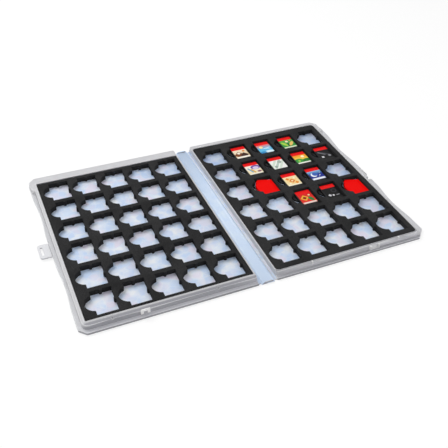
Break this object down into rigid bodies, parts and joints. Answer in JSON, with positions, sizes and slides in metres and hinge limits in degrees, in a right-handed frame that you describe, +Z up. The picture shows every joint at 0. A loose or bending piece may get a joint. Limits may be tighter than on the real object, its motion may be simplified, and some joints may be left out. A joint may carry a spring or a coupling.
{
  "type": "game cartridge binder",
  "caption": "Clamshell storage case of frosted plastic, open flat, with foam sheets of card pockets in both trays, a dished spine, living hinges and a slotted latch tab.",
  "frame": {"origin": "on the spine's underside, midway between its two hinges and level with the middle of both grids of pockets, on the surface that the open case lies on", "axes": "+X from the spine towards the right tray, +Y towards the far side, +Z up"},
  "size_m": [0.3974, 0.2465, 0.0102],
  "materials": {
    "frosted_polypropylene": "frosted, translucent, moulded",
    "black_foam": "matt die-cut closed-cell foam",
    "black_card_plastic": "fine moulded grain",
    "printed_label": "satin print",
    "red_card_plastic": "satin, moulded"
  },
  "bodies": {
    "base": {"right_tray": "frosted_polypropylene", "right_foam_insert": "black_foam"},
    "spine": {"spine": "frosted_polypropylene"},
    "cover": {"left_tray": "frosted_polypropylene", "left_foam_insert": "black_foam"},
    "latch": {"latch_tab": "frosted_polypropylene"},
    "cartridge_r1c2": {"cartridge_r1c2": "black_card_plastic", "label_r1c2": "printed_label"},
    "cartridge_r1c3": {"cartridge_r1c3": "black_card_plastic", "label_r1c3": "printed_label"},
    "cartridge_r1c4": {"cartridge_r1c4": "black_card_plastic", "label_r1c4": "printed_label"},
    "cartridge_r2c2": {"cartridge_r2c2": "black_card_plastic", "label_r2c2": "printed_label"},
    "cartridge_r2c3": {"cartridge_r2c3": "black_card_plastic", "label_r2c3": "printed_label"},
    "cartridge_r2c4": {"cartridge_r2c4": "black_card_plastic", "label_r2c4": "printed_label"},
    "cartridge_r2c5": {"cartridge_r2c5": "black_card_plastic", "label_r2c5": "printed_label"},
    "cartridge_r3c3": {"cartridge_r3c3": "black_card_plastic", "label_r3c3": "printed_label"},
    "cartridge_r3c4": {"cartridge_r3c4": "black_card_plastic", "label_r3c4": "printed_label"},
    "cartridge_r4c3": {"cartridge_r4c3": "black_card_plastic", "label_r4c3": "printed_label"},
    "cartridge_r4c4": {"cartridge_r4c4": "black_card_plastic", "label_r4c4": "printed_label"},
    "red_card_r3c2": {"red_card_r3c2": "red_card_plastic"},
    "red_card_r4c5": {"red_card_r4c5": "red_card_plastic"}
  },
  "joints": [
    {"name": "spine_fold", "type": "hinge", "parent": "base", "child": "spine", "pos_m": [0.0075, 0, 0.00025], "axis": [0, -1, 0], "range_deg": [-90, 0]},
    {"name": "cover_fold", "type": "hinge", "parent": "spine", "child": "cover", "pos_m": [-0.0075, 0, 0.00025], "axis": [0, -1, 0], "range_deg": [-90, 0]},
    {"name": "latch_fold", "type": "hinge", "parent": "cover", "child": "latch", "pos_m": [-0.19035, 0.00105, 0.00195], "axis": [0, -1, 0], "range_deg": [-90, 0]},
    {"name": "cartridge_r1c2_lift", "type": "slide", "parent": "base", "child": "cartridge_r1c2", "axis": [0, 0, 1], "range_m": [0, 0.012]},
    {"name": "cartridge_r1c3_lift", "type": "slide", "parent": "base", "child": "cartridge_r1c3", "axis": [0, 0, 1], "range_m": [0, 0.012]},
    {"name": "cartridge_r1c4_lift", "type": "slide", "parent": "base", "child": "cartridge_r1c4", "axis": [0, 0, 1], "range_m": [0, 0.012]},
    {"name": "cartridge_r2c2_lift", "type": "slide", "parent": "base", "child": "cartridge_r2c2", "axis": [0, 0, 1], "range_m": [0, 0.012]},
    {"name": "cartridge_r2c3_lift", "type": "slide", "parent": "base", "child": "cartridge_r2c3", "axis": [0, 0, 1], "range_m": [0, 0.012]},
    {"name": "cartridge_r2c4_lift", "type": "slide", "parent": "base", "child": "cartridge_r2c4", "axis": [0, 0, 1], "range_m": [0, 0.012]},
    {"name": "cartridge_r2c5_lift", "type": "slide", "parent": "base", "child": "cartridge_r2c5", "axis": [0, 0, 1], "range_m": [0, 0.012]},
    {"name": "cartridge_r3c3_lift", "type": "slide", "parent": "base", "child": "cartridge_r3c3", "axis": [0, 0, 1], "range_m": [0, 0.012]},
    {"name": "cartridge_r3c4_lift", "type": "slide", "parent": "base", "child": "cartridge_r3c4", "axis": [0, 0, 1], "range_m": [0, 0.012]},
    {"name": "cartridge_r4c3_lift", "type": "slide", "parent": "base", "child": "cartridge_r4c3", "axis": [0, 0, 1], "range_m": [0, 0.012]},
    {"name": "cartridge_r4c4_lift", "type": "slide", "parent": "base", "child": "cartridge_r4c4", "axis": [0, 0, 1], "range_m": [0, 0.012]},
    {"name": "red_card_r3c2_lift", "type": "slide", "parent": "base", "child": "red_card_r3c2", "axis": [0, 0, 1], "range_m": [0, 0.012]},
    {"name": "red_card_r4c5_lift", "type": "slide", "parent": "base", "child": "red_card_r4c5", "axis": [0, 0, 1], "range_m": [0, 0.012]}
  ]
}
